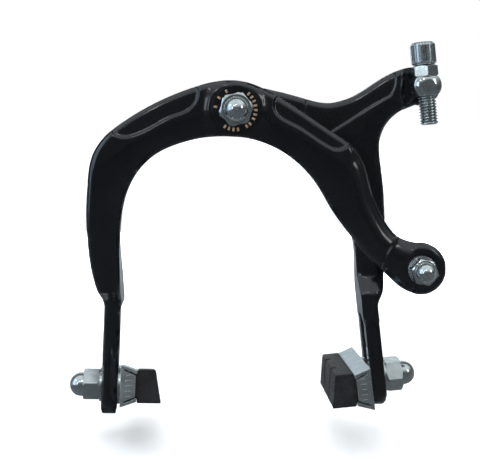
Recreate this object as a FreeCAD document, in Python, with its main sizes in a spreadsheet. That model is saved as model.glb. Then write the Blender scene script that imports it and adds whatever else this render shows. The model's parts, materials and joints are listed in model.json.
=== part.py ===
"""Long-reach single-pivot side-pull rim brake caliper, in millimetres.

The origin is on the pivot bolt's axis, in the plane that seats on the fork crown.
+Z is up, -Y is the front of the brake and +X is to the right, seen from the front.
"depth" below is measured rearwards from the front face of the front arm's boss.
"""
import FreeCAD, Part
import math
import os
from FreeCAD import Placement, Rotation, Vector

doc = FreeCAD.newDocument("rim_brake_caliper")
sizes = doc.addObject("Spreadsheet::Sheet", "sizes")

DRIVING_SIZES = {
    # depths of the stack along the pivot bolt
    "seat_depth": 28.6, "front_back": 8.0, "front_floor": 1.0, "panel_floor": 2.2,
    "rear_front": 9.0, "rear_back": 17.0, "leg_front": 5.0, "leg_back": 21.0,
    "block_front": 18.0, "block_back": 27.0, "wire_depth": 22.5, "cable_depth": 9.5,
    # pivot bolt and its hardware
    "bolt_radius": 3.0, "crown_gap": 25.4, "washer_radius": 8.0, "fit_gap": 0.05,
    "arm_bore_radius": 3.06, "loose_bore_radius": 3.15, "thin_washer": 0.9,
    "locknut_height": 3.3, "hex_six": 10.0, "hex_five": 8.0,
    "dome_hex_height": 5.0, "dome_radius": 3.95, "dome_length": 9.6,
    "radius_washer_height": 4.5, "crown_radius": 14.3, "crown_hollow": 3.2,
    "mounting_nut_height": 6.0,
    "bolt_end": 2.5, "block_width": 20.0, "block_height": 16.6,
    # boss and arms
    "boss_flat_radius": 8.9, "boss_foot_radius": 12.3,
    "anchor_x": 62.4, "anchor_z": -53.7, "anchor_lug_radius": 8.5,
    "anchor_front": 2.2, "anchor_back": 7.0, "anchor_bore_radius": 2.56,
    "anchor_bolt_radius": 2.5, "anchor_head_radius": 4.6, "anchor_head_height": 5.2,
    "anchor_washer_radius": 4.7, "anchor_washer_height": 1.0,
    "anchor_hex_height": 4.2, "anchor_dome_radius": 3.35, "anchor_dome_length": 8.0,
    "stop_x": 65.7, "stop_z": 8.2, "stop_lug_radius": 6.5,
    "stop_lug_front": 14.4, "stop_lug_back": 19.9, "stop_bore_radius": 3.04,
    "peg_radius": 1.8, "peg_end": 24.6, "wire_radius": 1.2, "wire_height": 5.6,
    # legs and shoes
    "leg_thickness": 4.9, "leg_round": 7.6, "slot_radius": 3.15,
    "slot_low": -2.1, "slot_high": 18.8,
    "left_x": -43.2, "left_z": -95.5, "left_lean": 2.1, "left_pitch": 16.0, "left_toe": 4.0,
    "right_x": 48.65, "right_z": -92.3, "right_lean": -5.9, "right_pitch": 5.5, "right_toe": -0.5,
    "stud_radius": 3.0, "outer_washer": 1.0, "inner_washer": 1.45,
    "shoe_nut_hex": 5.5, "shoe_nut_length": 10.3, "left_nut_turn": 54.0, "right_nut_turn": 33.0,
    "holder_start": 4.0, "holder_width": 5.3, "holder_length": 40.0,
    "holder_sheet": 1.2, "holder_back_height": 13.2, "holder_mouth_height": 9.7, "pad_height": 10.5,
    "pad_length": 38.0, "pad_top_width": 6.0, "pad_bottom_width": 8.0,
    # cable stop and barrel adjuster
    "barrel_lean": 5.0, "eye_radius": 4.7, "eye_front": 5.2, "eye_top": 3.0,
    "eye_bottom": -3.5, "barrel_nut_height": 3.9, "barrel_head_radius": 4.25,
    "barrel_head_height": 8.0, "barrel_stem_radius": 3.0, "barrel_stem_end": -13.4,
    "thread_pitch": 1.0, "thread_depth": 0.5, "socket_radius": 2.6,
    "socket_depth": 6.5, "wire_hole_radius": 1.0,
}
for row, (alias, value) in enumerate(DRIVING_SIZES.items(), start=1):
    sizes.set(f"A{row}", alias)
    sizes.set(f"B{row}", str(value))
    sizes.setAlias(f"B{row}", alias)
doc.recompute()

SUBPARTS = []


def size(alias):
    """The value of one driving size."""
    return float(sizes.get(alias))


def at_depth(depth):
    """The Y coordinate of a depth behind the front face of the front boss."""
    return depth - size("seat_depth")


def bind(thing, **expressions):
    """Binds properties of an object to expressions of the sheet's cells."""
    for name, expression in expressions.items():
        for alias in sorted(DRIVING_SIZES, key=len, reverse=True):
            expression = expression.replace(f"[{alias}]", f"sizes.{alias}")
        thing.setExpression(name, expression)


def keep(thing, label):
    """Names a finished sub-part, which gets its own STEP file."""
    thing.Label = label
    SUBPARTS.append(thing)
    return thing


# ---------------------------------------------------------------- sketches and bodies
def new_body(label):
    return keep(doc.addObject("PartDesign::Body", label + "_body"), label)


def sketch_on(body, role, offset="0", rotation=None, shift=(0, 0)):
    """A sketch on one of the body's origin planes, moved along the plane's normal."""
    plane = next(f for f in body.Origin.OriginFeatures if f.Role == role)
    sketch = body.newObject("Sketcher::SketchObject", "outline")
    sketch.AttachmentSupport = [(plane, "")]
    sketch.MapMode = "FlatFace"
    turn = rotation or Rotation()
    sketch.AttachmentOffset = Placement(Vector(shift[0], shift[1], 0), turn)
    bind(sketch, **{".AttachmentOffset.Base.z": offset})
    return sketch


def facing(body, depth):
    """A sketch seen from the front (X to the right, Z up) at the depth that a formula gives."""
    return sketch_on(body, "XZ_Plane", f"[seat_depth] - ({depth})")


def draw(sketch, start, *segments):
    """Draws a chain of lines, three-point arcs and smooth curves, each starting where the last ends."""
    here = start
    for kind, *points in segments:
        path = [Vector(x, y, 0) for x, y in (here, *points)]
        if kind == "line":
            edge = Part.LineSegment(*path)
        elif kind == "arc":
            edge = Part.Arc(*path)
        else:
            edge = Part.BSplineCurve()
            edge.interpolate(path)
        sketch.addGeometry(edge, False)
        here = points[-1]
    return sketch


def polygon(sketch, *points):
    return draw(sketch, points[-1], *[("line", p) for p in points])


def circle(sketch, x, y, radius):
    sketch.addGeometry(Part.Circle(Vector(x, y, 0), Vector(0, 0, 1), radius), False)
    return sketch


def feature(body, kind, sketch, **settings):
    """Adds a sketch-based PartDesign feature; settings that are text are formulas."""
    item = body.newObject("PartDesign::" + kind, kind)
    item.Profile = sketch
    for name, value in settings.items():
        if isinstance(value, str) and value.startswith("="):
            bind(item, **{name: value[1:]})
        else:
            setattr(item, name, value)
    sketch.Visibility = False
    doc.recompute()
    return item


def pad(body, sketch, length, **settings):
    return feature(body, "Pad", sketch, Length="=" + length, **settings)


def pocket(body, sketch, length, **settings):
    """Cuts a pocket and stops the build if it removed nothing."""
    before = body.Shape.Volume
    item = feature(body, "Pocket", sketch, Length="=" + length, **settings)
    if not body.Shape.Volume < before - 1e-6:
        raise RuntimeError(f"a pocket of {body.Label} cuts nothing")
    return item


# ---------------------------------------------------------------- primitives
def primitive(kind, place=None, **expressions):
    thing = doc.addObject("Part::" + kind, kind.lower())
    bind(thing, **expressions)
    if place:
        thing.Placement = place
    return thing


def boolean(kind, base, *tools):
    """Cuts every tool from the base, or fuses or intersects them with it."""
    for tool in tools:
        item = doc.addObject("Part::" + kind, kind.lower())
        item.Base = base
        item.Tool = tool
        base = item
    return base


def along(direction, origin=(0, 0, 0), spin=0):
    """The placement that turns +Z to a direction, after a spin about +Z."""
    turn = Rotation(Vector(0, 0, 1), Vector(*direction)) * Rotation(Vector(0, 0, 1), spin)
    return Placement(Vector(*origin), turn)


def lifted(height):
    return Placement(Vector(0, 0, height), Rotation())


FORWARD, REARWARD = (0, -1, 0), (0, 1, 0)


def ring(label, outer, inner, height, place):
    """A flat washer."""
    disc = primitive("Cylinder", Radius=outer, Height=height)
    hole = primitive("Cylinder", lifted(-1), Radius=inner, Height=f"{height} + 2")
    washer = boolean("Cut", disc, hole)
    washer.Placement = place
    return keep(washer, label)


def hexagon(across, height):
    """A hexagonal prism, given by two aliases, with both ends' corners turned down at 30 degrees."""
    prism = primitive("Prism", Circumradius=f"[{across}] / (2 * cos(30 deg))", Height=f"[{height}]")
    prism.Polygon = 6
    inner = f"[{across}] / 2 - 0.15"
    outer = f"[{across}] / (2 * cos(30 deg)) + 0.3"
    bevel = f"(({outer}) - ({inner})) * tan(30 deg)"
    low = primitive("Cone", Radius1=inner, Radius2=outer, Height=bevel)
    middle = primitive("Cylinder", Radius=outer, Height=f"[{height}] - 2 * {bevel}")
    bind(middle, **{".Placement.Base.z": bevel})
    high = primitive("Cone", Radius1=outer, Radius2=inner, Height=bevel)
    bind(high, **{".Placement.Base.z": f"[{height}] - {bevel}"})
    return boolean("Common", prism, boolean("Fuse", low, middle, high))


def dome_nut(label, across, height, dome_radius, length, bore, place):
    """A hexagonal nut closed by a round dome, with a blind bore."""
    skirt = primitive("Cylinder", Radius=dome_radius, Height=f"{length} - {dome_radius}")
    ball = primitive("Sphere", Radius=dome_radius)
    bind(ball, **{".Placement.Base.z": f"{length} - {dome_radius}"})
    hole = primitive("Cylinder", lifted(-1), Radius=bore, Height=f"{length} - 1")
    nut = boolean("Cut", boolean("Fuse", hexagon(across, height), skirt, ball), hole)
    nut.Placement = place
    return keep(nut, label)


# ---------------------------------------------------------------- hardware on the pivot bolt
BOLT_BORE = "[bolt_radius] + [fit_gap]"


def drilled(nut, bore, height):
    """A nut or block with a hole through it along its own +Z."""
    hole = primitive("Cylinder", lifted(-1), Radius=bore, Height=f"{height} + 2")
    return boolean("Cut", nut, hole)


def relief(radius_alias, depth, width, place):
    """A ring to cut from a shaft that lies along the placement's +Z."""
    outer = primitive("Cylinder", Radius=f"[{radius_alias}] + 1", Height=str(width))
    inner = primitive("Cylinder", lifted(-1), Radius=f"[{radius_alias}] - {depth}",
                      Height=str(width + 2))
    item = boolean("Cut", outer, inner)
    item.Placement = place
    return item


def pivot_hardware():
    """The bolt, the washers between the moving arms and the two nuts in front."""
    bolt_front = -11.7
    length = (f"[seat_depth] - ({bolt_front}) + [crown_gap] + [radius_washer_height]"
              " + [thin_washer] + [mounting_nut_height] + [bolt_end]")
    start = along(REARWARD, (0, at_depth(bolt_front), 0))
    shaft = primitive("Cylinder", start, Radius="[bolt_radius]", Height=length)
    reliefs = [relief("bolt_radius", 0.45, 1.1, along(REARWARD, (0, y, 0)))
               for y in (-1.2, size("crown_gap"))]
    keep(boolean("Cut", shaft, *reliefs), "pivot_bolt")

    gap = size("fit_gap")
    thin = "[thin_washer] - [fit_gap]"
    for label, direction, depth in (("front_disc_washer", FORWARD, -gap),
                                    ("arm_washer", REARWARD, size("front_back") + gap),
                                    ("rear_arm_washer", REARWARD, size("rear_back") + gap)):
        ring(label, "[washer_radius]", BOLT_BORE, thin, along(direction, (0, at_depth(depth), 0)))
    ring("seat_washer", "[washer_radius]", BOLT_BORE, "[seat_depth] - [block_back] - [fit_gap]",
         along(FORWARD))

    lock_depth = -size("thin_washer") - gap
    locknut = drilled(hexagon("hex_six", "locknut_height"), BOLT_BORE, "[locknut_height]")
    locknut.Placement = along(FORWARD, (0, at_depth(lock_depth), 0), spin=20)
    keep(locknut, "pivot_locknut")
    dome_depth = lock_depth - size("locknut_height") - gap
    dome_nut("pivot_dome_nut", "hex_six", "dome_hex_height", "[dome_radius]", "[dome_length]",
             BOLT_BORE, along(FORWARD, (0, at_depth(dome_depth), 0), spin=9))


def spring_holder():
    """The block fixed on the bolt behind the arms, with a cross hole that grips the spring."""
    body = new_body("spring_holder")
    wide, high, round_off = size("block_width") / 2, size("block_height") / 2, 2.5
    outline = facing(body, "[block_back]")
    draw(outline, (-wide, high - round_off),
         ("line", (-wide, round_off - high)),
         ("arc", (round_off * 0.3 - wide, round_off * 0.3 - high), (round_off - wide, -high)),
         ("line", (wide - round_off, -high)),
         ("arc", (wide - round_off * 0.3, round_off * 0.3 - high), (wide, round_off - high)),
         ("line", (wide, high - round_off)),
         ("arc", (wide - round_off * 0.3, high - round_off * 0.3), (wide - round_off, high)),
         ("line", (round_off - wide, high)),
         ("arc", (round_off * 0.3 - wide, high - round_off * 0.3), (-wide, high - round_off)))
    pad(body, outline, "[block_back] - [block_front]")
    bore = circle(facing(body, "[block_front]"), 0, 0, size("bolt_radius") + size("fit_gap"))
    pocket(body, bore, "[block_back] - [block_front]")
    wire_hole = circle(sketch_on(body, "YZ_Plane"), at_depth(size("wire_depth")),
                       size("wire_height"), size("wire_radius") + 0.06)
    pocket(body, wire_hole, "2 * [block_width]", Midplane=True)


def return_spring():
    """One bent wire through the holder; each end pushes an arm's peg outwards."""
    body = new_body("return_spring")
    left_peg, right_peg = peg_places()
    reach = size("peg_radius") + size("wire_radius") + 0.4
    left_x, right_x = left_peg[0] + reach, right_peg[0] - reach
    low, top = -36.0, size("wire_height")
    profile = sketch_on(body, "XY_Plane", str(low))
    circle(profile, left_x, at_depth(size("wire_depth")), size("wire_radius"))
    path = facing(body, "[wire_depth]")
    draw(path, (left_x, low),
         ("curve", (left_x + 0.2, -27), (-39.6, -17), (-33.5, -9.2), (-25.5, -3), (-17.5, 3),
          (-13, 5.1), (-10.5, top), (-8, top), (-4, top), (4, top), (8, top), (10.5, top),
          (13, 5.1), (17.5, 2.8), (27, -4), (36, -11.2), (42, -19.3), (right_x - 0.2, -27),
          (right_x, low)))
    pipe = body.newObject("PartDesign::AdditivePipe", "wire")
    pipe.Profile = profile
    pipe.Spine = path
    doc.recompute()


def mounting_hardware():
    """What clamps the brake to a crown from behind: a hollow-faced washer, a washer and a nut."""
    start = size("crown_gap")
    hollow = primitive("Cylinder", Placement(Vector(0, 20, 0), Rotation(Vector(1, 0, 0), 90)),
                       Radius="[crown_radius]", Height="40")
    bind(hollow, **{".Placement.Base.z": "[crown_hollow] - [crown_radius]"})
    block = primitive("Cylinder", Radius="[washer_radius] + 1", Height="[radius_washer_height]")
    washer = drilled(boolean("Cut", block, hollow), BOLT_BORE, "[radius_washer_height]")
    washer.Placement = along(REARWARD, (0, start, 0))
    keep(washer, "radius_washer")
    start += size("radius_washer_height") + size("fit_gap")
    ring("mounting_washer", "[washer_radius] - 1.5", BOLT_BORE, "[thin_washer] - [fit_gap]",
         along(REARWARD, (0, start, 0)))
    start += size("thin_washer")
    nut = drilled(hexagon("hex_six", "mounting_nut_height"), BOLT_BORE, "[mounting_nut_height]")
    nut.Placement = along(REARWARD, (0, start, 0), spin=15)
    keep(nut, "mounting_nut")


# ---------------------------------------------------------------- arms
def peg_places():
    """X and Z of the spring pegs on the front arm and on the rear arm."""
    return (-46.0, -33.0), (48.5, -33.0)


def leaned(body, side):
    """A side-view sketch (Y and height above the stud) in the middle of a leg, set as the leg is.

    The leg leans sideways and is twisted so that the front end of its shoe toes in or out.
    """
    lean = Rotation(Vector(1, 0, 0), size(f"{side}_lean"))
    toe = Rotation(Vector(0, 1, 0), size(f"{side}_toe"))
    offset = toe.multVec(Vector(-leg_middle(), 0, 0)) + Vector(leg_middle(), 0, 0)
    sketch = sketch_on(body, "YZ_Plane", f"[{side}_x] + {offset.z}", toe * lean, (offset.x, 0))
    bind(sketch, **{".AttachmentOffset.Base.y": f"[{side}_z]"})
    return sketch


def leg_middle():
    return at_depth((size("leg_front") + size("leg_back")) / 2)


def add_leg(body, side, top):
    """The flat bar that carries a shoe, with a full round end."""
    front, back, middle = at_depth(size("leg_front")), at_depth(size("leg_back")), leg_middle()
    low = size("slot_low")
    bar = draw(leaned(body, side), (front, top), ("line", (front, low)),
               ("arc", (middle, low - size("leg_round")), (back, low)),
               ("line", (back, top)), ("line", (front, top)))
    pad(body, bar, "[leg_thickness]", Midplane=True)


def cut_slot(body, side):
    """The long hole along which the shoe's stud is set for the rim's height."""
    middle, half = leg_middle(), size("slot_radius")
    low, high = size("slot_low"), size("slot_high")
    slot = draw(leaned(body, side), (middle - half, high), ("line", (middle - half, low)),
                ("arc", (middle, low - half), (middle + half, low)),
                ("line", (middle + half, high)),
                ("arc", (middle, high + half), (middle - half, high)))
    pocket(body, slot, "3 * [leg_thickness]", Midplane=True)


def front_arm():
    """The C-shaped arm in front: left shoe leg, boss over the pivot and cable anchor lug."""
    body = new_body("front_arm")
    anchor = (size("anchor_x"), size("anchor_z"))
    lug = size("anchor_lug_radius")
    outline = facing(body, "[leg_back]")
    draw(outline, (-43.9, -68),
         ("curve", (-44.9, -64.3), (-47.1, -57.8), (-49.1, -47), (-49.8, -34), (-49.3, -24),
          (-47.9, -15.8), (-44.5, -10.2), (-38.3, -4.9), (-26.3, 2.2), (-14.3, 7.1), (-4.3, 9.4),
          (4, 8.8), (12.9, 4.9), (24.6, -2.4), (36.2, -10.1)),
         ("curve", (39.3, -12.6), (42.4, -16.7), (44.4, -22), (45.9, -28), (48.2, -34), (51, -39),
          (54.3, -42.7), (58.2, -44.7), (anchor[0] + 0.5, anchor[1] + lug)),
         ("arc", (anchor[0] + lug, anchor[1]), (anchor[0] + 0.5, anchor[1] - lug)),
         ("curve", (56.4, -60.1), (50.7, -55), (44.4, -49), (38.5, -41.6), (32.6, -33.4),
          (28.3, -26), (24.2, -20.7), (18.2, -15.4), (12, -11.9), (4, -9.4), (-2.2, -8.8),
          (-10.3, -9.2), (-18.5, -11.1), (-26.6, -14.7), (-32.5, -20.1), (-36.1, -26.2),
          (-38.1, -33), (-39, -41), (-39.2, -49), (-39, -58), (-39.1, -68)),
         ("line", (-43.9, -68)))
    pad(body, outline, "[leg_back]")
    add_leg(body, "left", 30)

    bend = sketch_on(body, "YZ_Plane")
    polygon(bend, (at_depth(8), -43), (at_depth(21.1), -66), (at_depth(21.1), 20), (at_depth(8), 20))
    pocket(body, bend, "60")
    behind = facing(body, "[front_back]")
    polygon(behind, (-33, 20), (80, 20), (80, -80), (-33, -80))
    pocket(body, behind, "[leg_back] - [front_back] + 1")
    step = sketch_on(body, "YZ_Plane")
    polygon(step, (at_depth(-1), -61), (at_depth(1), -61), (at_depth(5), -64.6),
            (at_depth(5), -69), (at_depth(-1), -69))
    pocket(body, step, "60")

    flat, foot = size("boss_flat_radius"), size("boss_foot_radius")
    floor = size("front_floor")
    waste = sketch_on(body, "XY_Plane")
    draw(waste, (flat, at_depth(-1)), ("line", (flat, at_depth(0))),
         ("arc", ((flat + foot) / 2, at_depth(0.766 * floor)), (foot, at_depth(floor))),
         ("line", (120, at_depth(floor))), ("line", (120, at_depth(-1))),
         ("line", (flat, at_depth(-1))))
    feature(body, "Groove", waste, ReferenceAxis=(waste, ["V_Axis"]), Angle=360)

    left_panel = facing(body, "[front_floor]")
    draw(left_panel, (-12, 9.5),
         ("curve", (-12.1, 6.7), (-13.1, 2.6), (-15.6, -0.2), (-21.7, -2.7), (-28, -6.1),
          (-33.5, -8.6), (-37.6, -9.4), (-41.4, -8.1), (-44.5, -4)),
         ("line", (-30, 9.5)), ("line", (-12, 9.5)))
    pocket(body, left_panel, "[panel_floor] - [front_floor]")
    right_panel = facing(body, "[front_floor]")
    draw(right_panel, (14.5, 9.5),
         ("curve", (12.9, 3.2), (12.9, 0.2), (14.4, -2.3), (19.3, -5.2), (24.7, -8.5),
          (30.6, -12.4), (33.8, -13.7), (37, -13), (41, -8)),
         ("line", (41, 9.5)), ("line", (14.5, 9.5)))
    pocket(body, right_panel, "[panel_floor] - [front_floor]")

    recess = circle(facing(body, "0"), anchor[0] + 0.2, anchor[1] + 0.4, 12.9)
    pocket(body, recess, "[anchor_front]")
    back_recess = circle(facing(body, "[anchor_back]"), anchor[0], anchor[1], 12.9)
    pocket(body, back_recess, "3")
    pocket(body, circle(facing(body, "-1"), 0, 0, size("arm_bore_radius")), "12")
    pocket(body, circle(facing(body, "-1"), *anchor, size("anchor_bore_radius")), "12")
    peg = circle(facing(body, "[peg_end]"), *peg_places()[0], size("peg_radius"))
    pad(body, peg, "[peg_end] - [front_back] + 1")
    cut_slot(body, "left")
    return body


def rear_arm():
    """The Y-shaped arm behind: boss, branch up to the cable stop and right shoe leg."""
    body = new_body("rear_arm")
    stop = (size("stop_x"), size("stop_z"))
    lug = size("stop_lug_radius")
    outline = facing(body, "[leg_back]")
    draw(outline, (0, 8.6),
         ("curve", (5, 8.3), (10, 7.1), (16.5, 5.6), (24.8, 3.3), (28.9, 2.3), (33, 2),
          (37.2, 2.8), (41.3, 4.3), (45.4, 6.7), (49.6, 9.5), (53.7, 11.9), (58, 13.7),
          (stop[0] - 1.5, stop[1] + lug)),
         ("arc", (stop[0] + lug, stop[1]), (stop[0] - 2, stop[1] - lug + 0.3)),
         ("curve", (60, 1.2), (57.8, 0.2), (55.6, -1.2), (53.2, -3.4), (51.1, -6.6), (49.9, -10),
          (49.6, -14), (50, -18.5), (50.7, -24), (51.3, -31), (51.5, -40), (51.4, -50),
          (51, -58), (50, -62.6), (48.8, -65.2), (48.5, -68)),
         ("line", (44, -68)),
         ("curve", (43, -62.5), (42.4, -56), (41.8, -48), (40.3, -41), (37.3, -33.5),
          (32.8, -25.5), (27, -18), (20, -12.2), (12, -9.2), (5, -8.5), (0, -8.6)),
         ("arc", (-8.6, 0), (0, 8.6)))
    pad(body, outline, "[leg_back] - [leg_front]")
    add_leg(body, "right", 27)

    ahead = sketch_on(body, "YZ_Plane")
    polygon(ahead, (at_depth(4), 20), (at_depth(9), 20), (at_depth(9), -57), (at_depth(5), -63),
            (at_depth(4), -63))
    pocket(body, ahead, "200", Midplane=True)
    behind = sketch_on(body, "YZ_Plane")
    polygon(behind, (at_depth(17), 20), (at_depth(22), 20), (at_depth(22), -66),
            (at_depth(21), -66), (at_depth(17), -50))
    pocket(body, behind, "200", Midplane=True)

    panel = facing(body, "[rear_front]")
    draw(panel, (24, -13.5), ("curve", (34.5, -7), (43, -1.6), (49.2, 2.2), (53.6, 4.6)),
         ("curve", (55.2, 7.8), (54.4, 16)), ("line", (24, 16)), ("line", (24, -13.5)))
    pocket(body, panel, "0.8")
    recess = facing(body, "[rear_front]")
    draw(recess, (60.5, 20), ("curve", (58.8, 14), (58.2, 8), (58.6, 2), (60, -5)),
         ("line", (80, -5)), ("line", (80, 20)), ("line", (60.5, 20)))
    pocket(body, recess, "[stop_lug_front] - [rear_front]")
    eyelet = facing(body, "[stop_lug_back]")
    draw(eyelet, (stop[0] - 1.5, stop[1] + lug),
         ("arc", (stop[0] + lug, stop[1]), (stop[0] - 2, stop[1] - lug + 0.3)),
         ("line", (55.6, -1.2)), ("line", (50, 9)), ("line", (stop[0] - 1.5, stop[1] + lug)))
    pad(body, eyelet, "[stop_lug_back] - [stop_lug_front]")
    pocket(body, circle(facing(body, "8"), 0, 0, size("arm_bore_radius")), "12")
    pocket(body, circle(facing(body, "8"), *stop, size("stop_bore_radius")), "14")
    peg = circle(facing(body, "[peg_end]"), *peg_places()[1], size("peg_radius"))
    pad(body, peg, "[peg_end] - [rear_back] + 1")
    cut_slot(body, "right")
    return body


# ---------------------------------------------------------------- cable anchor
def cable_direction():
    """The unit vector from the anchor bolt's cable hole towards the cable stop."""
    run = Vector(size("stop_x") - size("anchor_x"), 0, size("stop_z") - size("anchor_z"))
    return run.normalize()


def anchor_set():
    """The bolt whose head grips the cable behind the lug, with its washer and dome nut."""
    x, z, gap = size("anchor_x"), size("anchor_z"), size("fit_gap")
    head_front = size("anchor_back") + gap
    head = primitive("Cylinder", along(REARWARD, (x, at_depth(head_front), z)),
                     Radius="[anchor_head_radius]", Height="[anchor_head_height]")
    shank = primitive("Cylinder", along(FORWARD, (x, at_depth(head_front + 1), z)),
                      Radius="[anchor_bolt_radius]", Height="11.5")
    way = cable_direction()
    start = Vector(x, at_depth(size("cable_depth")), z) - way * 10
    hole = primitive("Cylinder", along(way, start), Radius="[wire_hole_radius]", Height="20")
    keep(boolean("Cut", boolean("Fuse", head, shank), hole), "anchor_bolt")

    bore = "[anchor_bolt_radius] + [fit_gap]"
    washer_back = size("anchor_front") - gap
    ring("anchor_washer", "[anchor_washer_radius]", bore, "[anchor_washer_height]",
         along(FORWARD, (x, at_depth(washer_back), z)))
    nut_back = washer_back - size("anchor_washer_height") - gap
    dome_nut("anchor_dome_nut", "hex_five", "anchor_hex_height", "[anchor_dome_radius]",
             "[anchor_dome_length]", bore, along(FORWARD, (x, at_depth(nut_back), z), spin=48))


# ---------------------------------------------------------------- cable stop and barrel adjuster
def barrel_frame():
    """Where the barrel's axis crosses the cable stop's swivel axis, with +Z up the barrel."""
    lean = Rotation(Vector(0, 1, 0), -size("barrel_lean"))
    return Placement(Vector(size("stop_x"), at_depth(size("cable_depth")), size("stop_z")), lean)


def cable_stop():
    """The swivelling eye that the barrel screws into, with the washer and clip behind the lug."""
    gap = size("fit_gap")
    depth = size("cable_depth")
    front, back = size("eye_front") - depth, size("stop_lug_front") - gap - depth
    drum = primitive("Cylinder", along(REARWARD, (0, front, 0)), Radius="[eye_radius]",
                     Height=str(back - front))
    dome = primitive("Sphere", Placement(Vector(0, front + 7.2, 0), Rotation()), Radius="7.5")
    slab = primitive("Box", Placement(Vector(-10, -10, size("eye_bottom")), Rotation()),
                     Length="20", Width="20", Height="[eye_top] - [eye_bottom]")
    head = boolean("Common", drum, boolean("Common", dome, slab))
    stem = primitive("Cylinder", along(REARWARD, (0, back - 0.5, 0)), Radius="[bolt_radius]",
                     Height="[stop_lug_back] - [stop_lug_front] + 3.1")
    thread_hole = primitive("Cylinder", lifted(-10), Radius="[barrel_stem_radius] + [fit_gap]",
                            Height="20")
    clip_front = size("stop_lug_back") + size("thin_washer") + 2 * gap
    groove = relief("bolt_radius", 0.7, 0.8, along(REARWARD, (0, clip_front - depth, 0)))
    eye = boolean("Cut", boolean("Fuse", head, stem), thread_hole, groove)
    eye.Placement = barrel_frame()
    keep(eye, "cable_stop_eye")

    x, z = size("stop_x"), size("stop_z")
    ring("stop_washer", "5", BOLT_BORE, "[thin_washer] - [fit_gap]",
         along(REARWARD, (x, at_depth(size("stop_lug_back") + gap), z)))
    disc = primitive("Cylinder", Radius="4.6", Height="0.7")
    neck = primitive("Cylinder", lifted(-1), Radius="[bolt_radius] - 0.65", Height="3")
    mouth = primitive("Box", Placement(Vector(-1.9, 0, -1), Rotation()), Length="3.8", Width="6",
                      Height="3")
    clip = boolean("Cut", disc, neck, mouth)
    clip.Placement = along(REARWARD, (x, at_depth(clip_front + 0.05), z))
    keep(clip, "stop_clip")


def barrel_adjuster():
    """The hollow screw that takes the cable housing, with a fluted head."""
    body = new_body("barrel_adjuster")
    stem, depth, pitch = size("barrel_stem_radius"), size("thread_depth"), size("thread_pitch")
    low = size("barrel_stem_end")
    head_low = size("eye_top") + size("barrel_nut_height") + 2 * size("fit_gap")
    top = head_low + size("barrel_head_height")
    head, socket, hole = size("barrel_head_radius"), size("socket_radius"), size("wire_hole_radius")
    outline = [(hole, low), (stem - depth, low)]
    turns = int((size("eye_top") - low) / pitch)
    for turn in range(turns):
        start = low + turn * pitch
        outline += [(stem, start + 0.45 * pitch), (stem, start + 0.6 * pitch),
                    (stem - depth, start + pitch)]
    outline += [(stem, low + turns * pitch + 0.3), (stem, head_low), (head - 0.5, head_low),
                (head, head_low + 0.4), (head, top - 0.8), (head - 0.8, top), (socket, top),
                (socket, top - size("socket_depth")), (hole, top - size("socket_depth"))]
    profile = polygon(sketch_on(body, "XZ_Plane"), *outline)
    feature(body, "Revolution", profile, ReferenceAxis=(profile, ["V_Axis"]), Angle=360)
    flute = circle(sketch_on(body, "XY_Plane", str(top + 0.1)), head + 0.12, 0, 0.4)
    cut = pocket(body, flute, "[barrel_head_height] + 0.15")
    flutes = body.newObject("PartDesign::PolarPattern", "flutes")
    flutes.Originals = [cut]
    flutes.Axis = (flute, ["N_Axis"])
    flutes.Angle = 360
    flutes.Occurrences = 24
    body.Tip = flutes
    body.Placement = barrel_frame()
    doc.recompute()

    nut = drilled(hexagon("hex_five", "barrel_nut_height"), "[barrel_stem_radius] + [fit_gap]",
                  "[barrel_nut_height]")
    seat = size("eye_top") + size("fit_gap")
    nut.Placement = barrel_frame() * Placement(Vector(0, 0, seat), Rotation(Vector(0, 0, 1), 30))
    keep(nut, "barrel_locknut")


# ---------------------------------------------------------------- brake shoes
def stud_frame(side):
    """A frame at the stud on the leg's middle plane, with +Z up along the leaning leg."""
    lean = Rotation(Vector(0, 1, 0), size(f"{side}_lean"))
    toe = Rotation(Vector(0, 0, 1), size(f"{side}_toe"))
    return Placement(Vector(size(f"{side}_x"), leg_middle(), size(f"{side}_z")), toe * lean)


def shoe_frame(side):
    """The stud's frame, pitched about the stud so that the shoe's front end is higher."""
    pitch = Rotation(Vector(1, 0, 0), -size(f"{side}_pitch"))
    return stud_frame(side) * Placement(Vector(), pitch)


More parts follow.
